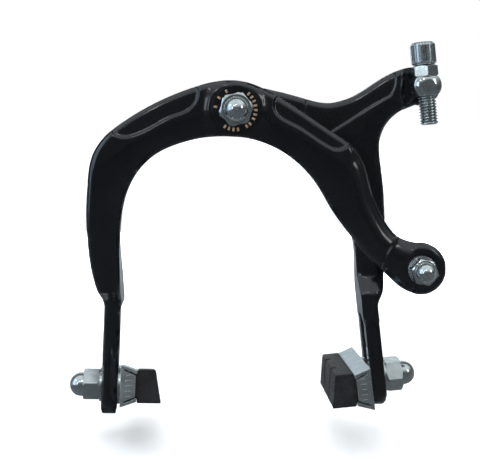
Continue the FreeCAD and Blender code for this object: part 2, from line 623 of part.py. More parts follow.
def brake_shoe(side, inward):
    """One shoe: folded steel holder, rubber pad, stud, two washers and a dome nut.

    inward is +1 where +X points to the rim, and -1 where -X does.
    """
    start, sheet = size("holder_start"), size("holder_sheet")
    mouth = start + size("holder_width")
    tall, short = size("holder_back_height") / 2, size("holder_mouth_height") / 2
    gap = size("fit_gap")

    def across(*points):
        return [(inward * x, z) for x, z in points]

    holder = new_body(f"{side}_shoe_holder")
    section = polygon(sketch_on(holder, "XZ_Plane", "-[holder_length] / 2"), *across(
        (start, tall), (mouth, short), (mouth, short - sheet), (start + sheet, tall - sheet),
        (start + sheet, sheet - tall), (mouth, sheet - short), (mouth, -short), (start, -tall)))
    pad(holder, section, "[holder_length]")
    flap = polygon(sketch_on(holder, "XZ_Plane", "[holder_length] / 2 - 1"), *across(
        (start + sheet / 2, tall - sheet - 0.4), (mouth - 0.4, short - sheet - 0.3),
        (mouth - 0.4, sheet + 0.3 - short), (start + sheet / 2, sheet + 0.4 - tall)))
    pad(holder, flap, "1")
    hole = circle(sketch_on(holder, "YZ_Plane"), 0, 0, size("stud_radius") + gap)
    pocket(holder, hole, "2 * ([holder_start] + [holder_sheet] + 0.1)", Midplane=True)
    holder.Placement = shoe_frame(side)

    rubber = new_body(f"{side}_pad")
    neck, face, deep = start + sheet + 1.2, mouth + 0.15, size("pad_height") / 2
    length = size("pad_length") - 2 * gap
    block = polygon(sketch_on(rubber, "XZ_Plane", "-[pad_length] / 2 + [fit_gap]"), *across(
        (neck, tall - sheet - 0.7), (face, short - sheet - 0.2), (face, deep),
        (face + size("pad_top_width"), deep), (face + size("pad_bottom_width"), -deep),
        (face, -deep), (face, sheet + 0.2 - short), (neck, sheet + 0.7 - tall)))
    pad(rubber, block, "[pad_length] - 2 * [fit_gap]")
    for share in (0.275, 0.675):
        middle = length / 2 - share * length
        bottom, outside = face + size("pad_top_width") - 1.6, face + 12
        groove = polygon(sketch_on(rubber, "XY_Plane", "-[holder_back_height]"), *across(
            (bottom, middle - 0.6), (outside, middle - 0.6), (outside, middle + 0.6),
            (bottom, middle + 0.6)))
        pocket(rubber, groove, "2 * [holder_back_height]", Reversed=True)
    rubber.Placement = shoe_frame(side)

    frame = stud_frame(side)
    outward = frame.Rotation.multVec(Vector(-inward, 0, 0))

    def place(distance, spin=0):
        """A placement on the stud's axis, pointing outwards, at a distance towards the rim."""
        return along(outward, frame.multVec(Vector(inward * distance, 0, 0)), spin)

    head = primitive("Cylinder", Radius="[stud_radius] + 1.8", Height="1")
    shank = primitive("Cylinder", Radius="[stud_radius]", Height="17.8")
    stud = boolean("Fuse", head, shank)
    stud.Placement = place(start + sheet + gap + 1)
    keep(stud, f"{side}_stud")
    bore = "[stud_radius] + [fit_gap]"
    half_leg = size("leg_thickness") / 2
    ring(f"{side}_inner_washer", "6.4", bore, "[inner_washer]",
         place(half_leg + gap + size("inner_washer")))
    ring(f"{side}_outer_washer", "5.6", bore, "[outer_washer]", place(-half_leg - gap))
    dome_nut(f"{side}_shoe_nut", "hex_six", "shoe_nut_hex", "[dome_radius]", "[shoe_nut_length]",
             bore, place(-half_leg - 2 * gap - size("outer_washer"), spin=size(f"{side}_nut_turn")))


# ---------------------------------------------------------------- checks and files
def check():
    """Stops the build if any object failed or any sub-part's shape is empty or invalid."""
    doc.recompute()
    for thing in doc.Objects:
        if {"Invalid", "Error"} & set(thing.State):
            raise RuntimeError(f"{thing.Label} ({thing.TypeId}) is {thing.State}")
    for part in SUBPARTS:
        if part.Shape.isNull() or not part.Shape.isValid() or not part.Shape.Solids:
            raise RuntimeError(f"{part.Label} has no valid solid")


def write():
    os.makedirs("parts", exist_ok=True)
    for part in SUBPARTS:
        part.Shape.exportStep(os.path.join("parts", part.Label + ".step"))


front_arm()
rear_arm()
pivot_hardware()
spring_holder()
return_spring()
mounting_hardware()
anchor_set()
cable_stop()
barrel_adjuster()
brake_shoe("left", 1)
brake_shoe("right", -1)
check()
write()
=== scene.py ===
import json
import math

import bmesh
import bpy
import numpy as np
from mathutils import Matrix, Vector
from mathutils.kdtree import KDTree


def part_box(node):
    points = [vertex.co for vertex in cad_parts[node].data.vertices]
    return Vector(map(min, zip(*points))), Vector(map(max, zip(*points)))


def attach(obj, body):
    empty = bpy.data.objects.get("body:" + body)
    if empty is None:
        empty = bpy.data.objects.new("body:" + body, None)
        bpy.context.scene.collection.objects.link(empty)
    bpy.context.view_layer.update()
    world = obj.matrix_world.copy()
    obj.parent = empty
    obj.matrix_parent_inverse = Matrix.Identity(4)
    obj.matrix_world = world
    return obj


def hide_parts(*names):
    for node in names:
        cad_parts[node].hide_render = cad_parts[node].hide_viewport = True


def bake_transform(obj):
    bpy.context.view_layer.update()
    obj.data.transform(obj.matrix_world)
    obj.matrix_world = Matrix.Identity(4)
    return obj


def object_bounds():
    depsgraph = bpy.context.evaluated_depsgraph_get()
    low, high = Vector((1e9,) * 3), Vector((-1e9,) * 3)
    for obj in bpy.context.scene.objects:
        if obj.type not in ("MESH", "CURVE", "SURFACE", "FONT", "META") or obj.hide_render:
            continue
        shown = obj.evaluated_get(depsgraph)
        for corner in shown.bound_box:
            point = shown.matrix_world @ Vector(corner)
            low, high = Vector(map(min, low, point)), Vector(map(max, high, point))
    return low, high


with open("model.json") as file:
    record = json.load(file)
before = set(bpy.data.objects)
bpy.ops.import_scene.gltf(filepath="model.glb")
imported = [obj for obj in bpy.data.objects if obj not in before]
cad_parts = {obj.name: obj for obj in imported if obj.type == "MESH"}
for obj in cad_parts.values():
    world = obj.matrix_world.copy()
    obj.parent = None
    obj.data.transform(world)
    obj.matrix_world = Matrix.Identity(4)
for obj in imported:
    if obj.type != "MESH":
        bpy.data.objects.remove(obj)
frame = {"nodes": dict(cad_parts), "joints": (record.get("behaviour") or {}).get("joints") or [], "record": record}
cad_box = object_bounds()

MM = 0.001
scene = bpy.context.scene
joints = {joint["name"]: joint for joint in frame["joints"]}
mounts = {mount["name"]: mount for mount in frame["record"]["mounts"]}
body_of_node = {node: body for body, nodes in frame["record"]["behaviour"]["bodies"].items()
                for node in nodes}


# ---------------------------------------------------------------- materials
class Recipe:
    """A Principled material built up node by node in the object's own coordinates."""

    def __init__(self, name, **values):
        """values are inputs of the Principled shader, with _ for each space."""
        self.material = bpy.data.materials.new(name)
        self.material.use_nodes = True
        self.tree = self.material.node_tree
        self.shader = self.tree.nodes["Principled BSDF"]
        self.place = self.tree.nodes.new("ShaderNodeTexCoord").outputs["Object"]
        for key, value in values.items():
            self.shader.inputs[key.replace("_", " ").title().replace("Ior", "IOR")].default_value = value

    def node(self, kind, **inputs):
        """A new shader node; each input is a plain value or another node's output."""
        node = self.tree.nodes.new("ShaderNode" + kind)
        for key, value in inputs.items():
            socket = node.inputs[key]
            if isinstance(value, bpy.types.NodeSocket):
                self.tree.links.new(value, socket)
            else:
                socket.default_value = value
        return node

    def noise(self, per_metre, detail=3.0, roughness=0.5):
        """Smooth noise from 0 to 1 with about that many cells to the metre."""
        return self.node("TexNoise", Vector=self.place, Scale=per_metre, Detail=detail,
                         Roughness=roughness).outputs["Fac"]

    def spread(self, value, low, high, new_low, new_high):
        """Maps low..high onto new_low..new_high and holds it inside them."""
        node = self.node("MapRange", **{"Value": value, "From Min": low, "From Max": high,
                                        "To Min": new_low, "To Max": new_high})
        node.clamp = True
        return node.outputs["Result"]

    def mix(self, share, first, second):
        """A colour between first, at a share of 0, and second, at 1."""
        node = self.tree.nodes.new("ShaderNodeMix")
        node.data_type = "RGBA"
        for index, value in ((0, share), (6, first), (7, second)):
            if isinstance(value, bpy.types.NodeSocket):
                self.tree.links.new(value, node.inputs[index])
            else:
                node.inputs[index].default_value = value
        return node.outputs[2]

    def feed(self, name, value):
        """Links a value to an input of the Principled shader."""
        self.tree.links.new(value, self.shader.inputs[name])

    def relief(self, height, distance, strength=1.0, edge=0.0):
        """Bumps the surface, over edges rounded by the given radius in metres."""
        bump = self.node("Bump", Height=height, Distance=distance, Strength=strength)
        if edge:
            rounded = self.node("Bevel", Radius=edge)
            rounded.samples = 8
            self.tree.links.new(rounded.outputs["Normal"], bump.inputs["Normal"])
        self.feed("Normal", bump.outputs["Normal"])
        return bump.outputs["Normal"]


def black_paint(name, edge=0.0):
    """Thick stoved gloss black with a faint orange peel."""
    recipe = Recipe(name, roughness=0.22, coat_weight=1.0, coat_roughness=0.06, specular_ior_level=0.45)
    tone = recipe.mix(recipe.noise(90), (0.0028, 0.0029, 0.0038, 1), (0.0045, 0.0047, 0.0060, 1))
    recipe.feed("Base Color", tone)
    recipe.feed("Coat Roughness", recipe.spread(recipe.noise(160, 4.0), 0.3, 0.7, 0.035, 0.09))
    normal = recipe.relief(recipe.noise(300, 1.5), 0.000012, 0.25, edge)
    recipe.feed("Coat Normal", normal)
    return recipe.material


def zinc_plate(name, tint=(0.80, 0.86, 0.86), roughness=0.13, threaded=False):
    """Bright zinc plating: faintly blue and cloudy; a thread gets painted shade in its hollows."""
    recipe = Recipe(name, metallic=0.97, roughness=roughness)
    dull = tuple(0.80 * c for c in tint) + (1,)
    warm = (tint[0] * 1.04, tint[1] * 1.0, tint[2] * 0.95, 1)
    cloud = recipe.spread(recipe.noise(380, 4.0, 0.6), 0.35, 0.65, 0.0, 1.0)
    base = recipe.mix(cloud, dull, tint + (1,))
    blush = recipe.spread(recipe.noise(150, 2.0), 0.5, 0.75, 0.0, 0.6)
    colour = recipe.mix(blush, base, warm)
    if threaded:
        # Painted shade: ambient occlusion darkens the thread's hollows towards a dark grey.
        painted_hollow_shade = recipe.node("AmbientOcclusion", Distance=0.0009)
        painted_hollow_shade.samples = 12
        shade = recipe.spread(painted_hollow_shade.outputs["AO"], 0.3, 0.85, 0.0, 1.0)
        colour = recipe.mix(shade, (0.10, 0.11, 0.11, 1), colour)
    recipe.feed("Base Color", colour)
    recipe.feed("Roughness", recipe.spread(recipe.noise(900, 5.0, 0.65), 0.3, 0.7,
                                           roughness - 0.05, roughness + 0.08))
    recipe.relief(recipe.noise(1400, 3.0), 0.000006, 0.15, 0.0 if threaded else 0.00018)
    return recipe.material


def zinc_sheet(name):
    """Plated sheet steel: satin on its folded sides, darker and glossier on its closed front end; its colour is
    painted light by facing direction, with a bluer tone on the sides and another on the end facing the camera.
    """
    recipe = Recipe(name)
    normal = recipe.node("NewGeometry").outputs["Normal"]
    facing = recipe.node("SeparateXYZ", Vector=normal)
    front = recipe.spread(facing.outputs["Y"], -0.80, -0.93, 0.0, 1.0)
    cloud = recipe.spread(recipe.noise(260, 4.0, 0.6), 0.35, 0.65, 0.0, 1.0)
    # Painted light: the sides and the front end get separate colour tones by facing direction, as lit and shaded
    # copies of one sheet.
    side = recipe.mix(cloud, (0.50, 0.57, 0.61, 1), (0.62, 0.69, 0.72, 1))
    end = recipe.mix(cloud, (0.52, 0.56, 0.57, 1), (0.70, 0.74, 0.75, 1))
    recipe.feed("Base Color", recipe.mix(front, side, end))
    recipe.feed("Metallic", recipe.spread(front, 0.0, 1.0, 0.86, 0.93))
    recipe.feed("Roughness", recipe.spread(front, 0.0, 1.0, 0.36, 0.25))
    recipe.relief(recipe.noise(700, 3.0), 0.000006, 0.15, 0.00018)
    return recipe.material


def rubber(name):
    """Matte moulded rubber, slightly bloomed and finely grained."""
    recipe = Recipe(name, roughness=0.72, specular_ior_level=0.25, sheen_weight=0.03)
    bloom = recipe.spread(recipe.noise(260, 5.0, 0.62), 0.35, 0.7, 0.0, 1.0)
    recipe.feed("Base Color", recipe.mix(bloom, (0.012, 0.012, 0.013, 1), (0.024, 0.024, 0.026, 1)))
    recipe.feed("Roughness", recipe.spread(recipe.noise(1200, 3.0), 0.3, 0.7, 0.6, 0.85))
    recipe.relief(recipe.noise(3800, 4.0, 0.6), 0.00006, 0.6, 0.00025)
    return recipe.material


def print_ink(name):
    """Tan printing ink, slightly uneven."""
    recipe = Recipe(name, roughness=0.45)
    recipe.feed("Base Color", recipe.mix(recipe.noise(4000, 3.0), (0.34, 0.22, 0.14, 1),
                                         (0.50, 0.33, 0.21, 1)))
    return recipe.material


PAINT = black_paint("gloss_black_paint")
BLACK_PART = black_paint("gloss_black_part", edge=0.0002)
ZINC = zinc_plate("zinc_plate")
SCREW = zinc_plate("zinc_screw", roughness=0.17, threaded=True)
SHEET = zinc_sheet("zinc_sheet")
WIRE = zinc_plate("spring_wire", (0.46, 0.47, 0.49), 0.35)
RUBBER = rubber("pad_rubber")
INK = print_ink("tan_ink")
SHEETS = {"left_shoe_holder", "right_shoe_holder"}
LOOKS = {"arm_paint": PAINT, "black_disc": BLACK_PART, "holder_black": BLACK_PART,
         "zinc_plate": ZINC, "spring_steel": WIRE, "pad_rubber": RUBBER}
slots = {entry["node"]: entry["material_slot"] for entry in frame["record"]["subparts"]}
for node, thing in frame["nodes"].items():
    thing.data.materials.clear()
    thing.data.materials.append(SHEET if node in SHEETS else LOOKS[slots[node]])


# ---------------------------------------------------------------- building pieces
SMOOTHING = 0.5
EASED_MARGIN = 0.003


def piece(name, mesh, look, *nodes, body=None, smooth_angle=32):
    """Links a mesh that stands for CAD nodes and rides on their body."""
    mesh.materials.clear()
    mesh.materials.append(look)
    mesh.shade_smooth()
    if smooth_angle:
        mesh.set_sharp_from_angle(angle=math.radians(smooth_angle))
    thing = bpy.data.objects.new(name, mesh)
    scene.collection.objects.link(thing)
    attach(thing, body or body_of_node[nodes[0]])
    if nodes:
        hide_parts(*nodes)
    return thing


def evaluated(thing):
    """The mesh of a helper object with its modifiers applied; the helper is removed."""
    bpy.context.view_layer.update()
    mesh = bpy.data.meshes.new_from_object(
        thing.evaluated_get(bpy.context.evaluated_depsgraph_get()))
    bpy.data.objects.remove(thing)
    return mesh


def coordinates(mesh):
    """The mesh's points as rows of x, y and z."""
    found = np.zeros(len(mesh.vertices) * 3)
    mesh.vertices.foreach_get("co", found)
    return found.reshape(-1, 3)


def even_mesh(node, size):
    """A CAD piece's shape as an even grid of small faces."""
    helper = bpy.data.objects.new("helper", frame["nodes"][node].data.copy())
    scene.collection.objects.link(helper)
    remesh = helper.modifiers.new("even", "REMESH")
    remesh.mode = "VOXEL"
    remesh.voxel_size = size
    return evaluated(helper)


def worn(mesh, passes, eased=None, eased_passes=0):
    """The mesh with its edges and corners smoothed round.

    Inside eased, a low and a high (x, z) corner in metres, the depths alone are smoothed further.
    """
    helper = bpy.data.objects.new("helper", mesh)
    scene.collection.objects.link(helper)
    if eased:
        (left, low), (right, high) = eased
        group = helper.vertex_groups.new(name="eased")
        for vertex in mesh.vertices:
            x, _, z = vertex.co
            inside = min(x - left, right - x, z - low, high - z) / EASED_MARGIN
            if inside > 0:
                group.add([vertex.index], min(inside, 1), "REPLACE")
        ease = helper.modifiers.new("eased", "SMOOTH")
        ease.use_x = ease.use_z = False
        ease.vertex_group = "eased"
        ease.factor = SMOOTHING
        ease.iterations = eased_passes
    smooth = helper.modifiers.new("worn", "SMOOTH")
    smooth.factor = SMOOTHING
    smooth.iterations = passes
    return evaluated(helper)


def frame_at(origin, up, side):
    """The matrix whose Z axis is up and whose X axis is as near to side as it can be."""
    z = Vector(up).normalized()
    x = (Vector(side) - z * Vector(side).dot(z)).normalized()
    matrix = Matrix((x, z.cross(x), z)).transposed().to_4x4()
    matrix.translation = Vector(origin)
    return matrix


def rounded(outline, radius, steps=4):
    """An open outline with every corner replaced by a small curve."""
    points = [Vector(p) for p in outline]
    result = [points[0]]
    for before, corner, after in zip(points, points[1:], points[2:]):
        back, on = before - corner, after - corner
        reach = min(radius, back.length * 0.45, on.length * 0.45)
        start, end = corner + back.normalized() * reach, corner + on.normalized() * reach
        for step in range(steps + 1):
            share = step / steps
            result.append(start * (1 - share) ** 2 + corner * 2 * share * (1 - share) + end * share ** 2)
    return result + [points[-1]]


def turned(outline, where, steps=96, swell=None):
    """A mesh turned about the matrix's Z axis from (radius, height) points in millimetres.

    swell(angle, radius, height), if given, returns the radius to use at each point.
    """
    radius, height = np.array([tuple(p) for p in outline]).T
    angle = np.linspace(0, 2 * math.pi, steps, endpoint=False)
    angles, radii = np.meshgrid(angle, radius)
    heights = np.meshgrid(angle, height)[1]
    if swell:
        radii = swell(angles, radii, heights)
    points = np.stack([radii * np.cos(angles), radii * np.sin(angles), heights], axis=-1) * MM
    turn = np.array(where)
    points = points.reshape(-1, 3) @ turn[:3, :3].T + turn[:3, 3]
    faces = []
    for ring in range(len(outline) - 1):
        low, high = ring * steps, (ring + 1) * steps
        faces += [(low + i, low + (i + 1) % steps, high + (i + 1) % steps, high + i)
                  for i in range(steps)]
    faces.append(tuple(range(steps))[::-1])
    faces.append(tuple(range((len(outline) - 1) * steps, len(outline) * steps)))
    mesh = bpy.data.meshes.new("turned")
    mesh.from_pydata(points.tolist(), [], faces)
    mesh.validate()
    return mesh


def screwed(low, high, pitch, depth, top_radius):
    """A swell that cuts a helical thread of that pitch and depth between two heights."""
    def swell(angles, radii, heights):
        phase = (heights / pitch - angles / (2 * math.pi)) % 1.0
        ridge = 1 - np.abs(2 * phase - 1)
        shape = np.clip((ridge - 0.12) / 0.72, 0, 1)
        fade = np.clip((heights - low) / (0.7 * pitch), 0, 1) * np.clip((high - heights) / 0.3, 0, 1)
        cut = depth * (1 - shape) * fade
        on_thread = (heights > low) & (heights < high) & (np.abs(radii - top_radius) < 1e-6)
        return np.where(on_thread, radii - cut, radii)
    return swell


def fine(outline_start, radius, low, high, step, outline_end):
    """An outline whose straight wall between two heights is cut into small steps."""
    count = max(2, int(round((high - low) / step)))
    wall = [(radius, low + (high - low) * i / count) for i in range(count + 1)]
    return list(outline_start) + wall + list(outline_end)


# ---------------------------------------------------------------- forged arms
# Metres, but for the two clearances, which are millimetres.
FACE_CROWN = 0.0005
CROWN_REACH = 0.0075
PAINT_SWELL = 0.00028
COLUMN = 0.00045
SLOT_HEIGHTS = (-0.1015, -0.066)
OUTLINE_DEPTHS = (0.003, 0.0068)
PIVOT_CLEAR = 5
PIN_CLEAR = 4.5


def forge(mesh, depths, edge_of):
    """Rounds the front and back faces of a flat forging down towards its outline.

    depths is the span of depth, in metres, in which side walls count as the outline. edge_of takes
    the outline points and their normals and gives each one's width and drop in metres at the front
    and at the back, and whether it is kept. The ends of the leg's slot are never outline.
    """
    points = coordinates(mesh)
    normals = np.zeros(len(points) * 3)
    mesh.vertex_normals.foreach_get("vector", normals)
    normals = normals.reshape(-1, 3)
    wall = np.flatnonzero((np.abs(normals[:, 1]) < 0.35) & (points[:, 1] > depths[0])
                          & (points[:, 1] < depths[1]))
    front_width, front_drop, back_width, back_drop, kept = edge_of(points[wall], normals[wall])
    height = points[:, 2]
    slot_end = (np.abs(normals[:, 2]) > 0.4) & (height > SLOT_HEIGHTS[0]) & (height < SLOT_HEIGHTS[1])
    kept = kept & ~slot_end[wall]
    wall = wall[kept]
    front_width, front_drop = front_width[kept], front_drop[kept]
    back_width, back_drop = back_width[kept], back_drop[kept]
    tree = KDTree(len(wall))
    for index, (x, _, z) in enumerate(points[wall]):
        tree.insert((x, 0, z), index)
    tree.balance()

    column = np.floor((points[:, [0, 2]] - points[:, [0, 2]].min(0)) / COLUMN).astype(int)
    shape = tuple(column.max(0) + 1)
    nearest, farthest = np.full(shape, np.inf), np.full(shape, -np.inf)
    np.minimum.at(nearest, tuple(column.T), points[:, 1])
    np.maximum.at(farthest, tuple(column.T), points[:, 1])
    front_level, back_level = nearest[tuple(column.T)], farthest[tuple(column.T)]

    found = [tree.find((x, 0, z)) for x, _, z in points]
    index = np.array([f[1] for f in found])
    distance = np.array([f[2] for f in found])

    def fall(width, drop):
        """How far each point falls below its face: the edge's rounding and the face's crown."""
        inside = np.clip(1 - distance / width[index], 0, 1)
        crown = np.clip(1 - distance / CROWN_REACH, 0, 1)
        return drop[index] * (1 - np.sqrt(1 - inside ** 2)) + FACE_CROWN * crown ** 2

    outline = (np.abs(normals[:, 1]) < 0.6) & (distance < 0.001) & ~slot_end
    points[outline] += (normals * (1, 0, 1) * PAINT_SWELL)[outline]
    lowest = front_level + fall(front_width, front_drop)
    highest = back_level - fall(back_width, back_drop)
    points[:, 1] = np.clip(points[:, 1], np.minimum(lowest, highest), np.maximum(lowest, highest))
    mesh.vertices.foreach_set("co", points.ravel())
    mesh.update()


def front_arm_edges(points, normals):
    """Edge roundings of the front arm: wide inside the left leg, very wide right of the bend."""
    x, z = points[:, 0] / MM, points[:, 2] / MM
    inner = np.clip((-z - 12) / 8, 0, 1) * (x < -20) * (normals[:, 0] > 0.25)
    under = np.clip((-x - 2) / 12, 0, 1) * (normals[:, 2] < -0.4) * (x > -36) * (x < 0)
    crown = np.clip((x - 36) / 5, 0, 1) * np.clip((-z - 12) / 4, 0, 1) * (x < 60)
    wide = np.maximum(np.maximum(inner, under), 0.8 * (z < -101))
    width = (1.5 + 1.5 * wide + 4.0 * crown) * MM
    drop = (1.3 + 0.5 * wide + 1.9 * crown) * MM
    back_width = np.full(len(x), 1.5 * MM)
    back_drop = np.full(len(x), 1.2 * MM)
    anchor = joints["anchor_swivel"]["pos_m"]
    from_pin = np.hypot(x - anchor[0] / MM, z - anchor[2] / MM)
    kept = (np.hypot(x, z) > PIVOT_CLEAR) & (from_pin > PIN_CLEAR)
    return width, drop, back_width, back_drop, kept


def rear_arm_edges(points, _normals):
    """Edge roundings of the rear arm: even, and wider at the foot of the leg."""
    x, z = points[:, 0] / MM, points[:, 2] / MM
    swivel = joints["cable_stop_swivel"]["pos_m"]
    width = (1.6 + 1.2 * (z < -98)) * MM
    drop = (1.3 + 0.6 * (z < -98)) * MM
    from_pin = np.hypot(x - swivel[0] / MM, z - swivel[2] / MM)
    kept = (np.hypot(x, z) > PIVOT_CLEAR) & (from_pin > PIN_CLEAR)
    return width, drop, width, drop, kept


LUG_ROOT = ((0.040, -0.060), (0.0665, -0.028))
LEG_BEND = ((0.020, -0.074), (0.080, -0.052))
grain = 0.00033
for node, edges, eased, passes in (("front_arm", front_arm_edges, LUG_ROOT, 30),
                                   ("rear_arm", rear_arm_edges, LEG_BEND, 90)):
    shape = even_mesh(node, grain)
    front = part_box(node)[0].y if node == "front_arm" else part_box("arm_washer")[1].y
    forge(shape, (front + OUTLINE_DEPTHS[0], front + OUTLINE_DEPTHS[1]), edges)
    piece(node + "_forging", worn(shape, 9, eased=eased, eased_passes=passes),
          PAINT, node, smooth_angle=0)


# ---------------------------------------------------------------- moulded and cast pieces
PAD_GRAIN = 0.00025
EYE_GRAIN = 0.00014
for side in ("left", "right"):
    piece(side + "_pad_rubber", worn(even_mesh(side + "_pad", PAD_GRAIN), passes=15), RUBBER,
          side + "_pad", smooth_angle=0)
piece("cable_stop_casting", worn(even_mesh("cable_stop_eye", EYE_GRAIN), passes=5), ZINC,
      "cable_stop_eye", smooth_angle=0)


# ---------------------------------------------------------------- barrel adjuster
# Lengths in millimetres, as turned() takes them.
FLUTES = 24
FLUTE_DEPTH = 0.3
SOCKET_TO_NECK = 4.9


def barrel():
    """The barrel with a helical thread, a fluted head and a housing socket."""
    socket = mounts["housing_socket"]
    up = Vector(socket["axis"])
    eye = Vector(joints["cable_stop_swivel"]["pos_m"])
    where = frame_at(eye, up, (1, 0, 0))
    inverse = where.inverted()
    corners = [inverse @ v.co for v in frame["nodes"]["barrel_adjuster"].data.vertices]
    low, top = min(c.z for c in corners) / MM, max(c.z for c in corners) / MM
    head = max(math.hypot(c.x, c.y) for c in corners) / MM
    neck = (inverse @ Vector(socket["pos_m"])).z / MM - SOCKET_TO_NECK
    inside = socket["dims"]["r_mm"]
    stem = 3.0
    start = [(1.0, low + 5), (1.0, low), (2.3, low), (2.7, low + 0.3)]
    end = rounded([(stem, neck - 0.2), (stem, neck), (head - 0.7, neck), (head, neck + 0.7),
                   (head, neck + 1.4)], 0.3)
    side = [(head, neck + 1.4 + 5.2 * i / 12) for i in range(1, 13)]
    crown = rounded([(head, top - 1.4), (head - 0.05, top - 0.9), (head - 0.9, top), (inside + 0.25, top),
                     (inside, top - 0.3), (inside, top - 6.5), (1.0, top - 6.5), (1.0, top - 9)], 0.25)
    outline = fine(start, stem, low + 0.5, neck - 0.25, 0.1, end + side + crown)
    thread = screwed(low + 0.4, neck - 0.2, 1.0, 0.5, stem)

    def swell(angles, radii, heights):
        """The thread below the neck, and the flutes round the head."""
        radii = thread(angles, radii, heights)
        flute = np.clip(np.cos(FLUTES * angles) * 1.3 - 0.2, 0, 1)
        fade = np.clip((heights - neck - 0.3) / 0.7, 0, 1)
        return np.where(radii > head - 0.8, radii - FLUTE_DEPTH * flute * fade, radii)

    piece("barrel_screw", turned(outline, where, 288, swell), SCREW, "barrel_adjuster",
          smooth_angle=40)


barrel()


# ---------------------------------------------------------------- pivot bolt
def pivot_screw():
    """The long bolt, with its thread on the end that goes through the crown."""
    low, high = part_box("pivot_bolt")
    length = (high.y - low.y) / MM
    seat = -low.y / MM + 3
    where = frame_at((0, low.y, 0), (0, 1, 0), (1, 0, 0))
    outline = fine([(0.6, 0), (2.6, 0), (3.0, 0.4)], 3.0, seat, length - 0.5, 0.125,
                   [(2.6, length), (0.6, length)])
    mesh = turned(outline, where, 96, screwed(seat, length - 0.4, 1.0, 0.5, 3.0))
    piece("pivot_screw", mesh, SCREW, "pivot_bolt", smooth_angle=40)


pivot_screw()


# ---------------------------------------------------------------- return spring
def spring():
    """The wire cut into two halves at the middle; neither half is attached to the arm whose peg it pushes."""
    source = frame["nodes"]["return_spring"]
    for side, arm, sign in (("left", "front_arm", -1), ("right", "rear_arm", 1)):
        mesh = source.data.copy()
        thing = bpy.data.objects.new(f"return_spring_{side}", mesh)
        scene.collection.objects.link(thing)
        points = coordinates(mesh)
        cut = [i for i, p in enumerate(points) if p[0] * sign < -0.0005]
        work = bmesh.new()
        work.from_mesh(mesh)
        work.verts.ensure_lookup_table()
        bmesh.ops.delete(work, geom=[work.verts[i] for i in cut], context="VERTS")
        bmesh.ops.remove_doubles(work, verts=work.verts[:], dist=1e-6)
        work.to_mesh(mesh)
        work.free()
        mesh.materials.clear()
        mesh.materials.append(WIRE)
        mesh.shade_smooth()
        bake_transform(thing)
        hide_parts("return_spring")


spring()


# ---------------------------------------------------------------- printed and pressed marks
DASH_RING = 0.0067
DASH = (0.0013, 0.0008, 0.00006)
# Each run of dashes: the first angle and the step in degrees, and how many there are.
DASH_RUNS = ((117, 28, 3), (-28, 13, 7), (-57, 12, 2), (-122, 13, 4))
END_DEPTH = 0.006
BAR_LENGTHS = (0.0016, 0.0022, 0.0018, 0.0022, 0.0014)
BAR_WIDTH, BAR_HEIGHT = 0.0006, 0.00022
BAR_PITCH, BAR_OFFSET = 0.00165, 0.0003


def bars(name, places, look, body):
    """Small flat bars: each place is a matrix and the bar's size along its X, Y and Z."""
    vertices, faces = [], []
    for where, bar in places:
        base = len(vertices)
        for x, y, z in ((-1, -1, -1), (1, -1, -1), (1, 1, -1), (-1, 1, -1),
                        (-0.8, -0.8, 1), (0.8, -0.8, 1), (0.8, 0.8, 1), (-0.8, 0.8, 1)):
            vertices.append(where @ Vector((x * bar[0] / 2, y * bar[1] / 2, z * bar[2] / 2)))
        faces += [tuple(base + i for i in face) for face in
                  ((3, 2, 1, 0), (4, 5, 6, 7), (0, 1, 5, 4), (1, 2, 6, 5), (2, 3, 7, 6), (3, 0, 4, 7))]
    mesh = bpy.data.meshes.new(name)
    mesh.from_pydata(vertices, [], faces)
    piece(name, mesh, look, body=body)


def printed_dashes():
    """Plain tan dashes in three groups around the front disc, where a maker would print words."""
    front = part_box("front_disc_washer")[0].y
    places = []
    for start, step, count in DASH_RUNS:
        for index in range(count):
            turn = math.radians(start + step * index)
            outward = Vector((math.cos(turn), 0, math.sin(turn)))
            middle = outward * DASH_RING + Vector((0, front, 0))
            places.append((frame_at(middle, (0, -1, 0), outward), DASH))
    bars("disc_dashes", places, INK, "base")


def pressed_marks(side, sign):
    """A row of plain raised bars on the holder's closed end, where a maker would press a mark."""
    node = side + "_shoe_holder"
    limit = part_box(node)[0].y + END_DEPTH
    end = [p for p in frame["nodes"][node].data.polygons if p.normal.y < -0.8 and p.center.y < limit]
    area = sum(p.area for p in end)
    middle = sum((p.center * p.area for p in end), Vector()) / area
    outward = sum((p.normal * p.area for p in end), Vector()).normalized()
    inward = Vector(joints[side + "_shoe_tilt"]["axis"]) * sign
    where = frame_at(middle, outward, inward)
    places = [(where @ Matrix.Translation((BAR_OFFSET, BAR_PITCH * (index - 2), 0)),
               (length, BAR_WIDTH, BAR_HEIGHT)) for index, length in enumerate(BAR_LENGTHS)]
    bars(side + "_holder_marks", places, ZINC, side + "_shoe")


printed_dashes()
pressed_marks("left", 1)
pressed_marks("right", -1)


# ---------------------------------------------------------------- stage, light and camera
FLOOR_GAP = 0.006
BEND_START = 0.5
BEND_RADIUS = 0.5


def sheet_of_paper(name, profile, look):
    """A wide sheet with the given (y, z) profile."""
    vertices = [(x, y, z) for y, z in profile for x in (-4, 4)]
    faces = [(2 * i, 2 * i + 1, 2 * i + 3, 2 * i + 2) for i in range(len(profile) - 1)]
    mesh = bpy.data.meshes.new(name)
    mesh.from_pydata(vertices, [], faces)
    mesh.shade_smooth()
    mesh.materials.append(look)
    thing = bpy.data.objects.new(name, mesh)
    scene.collection.objects.link(thing)
    return thing


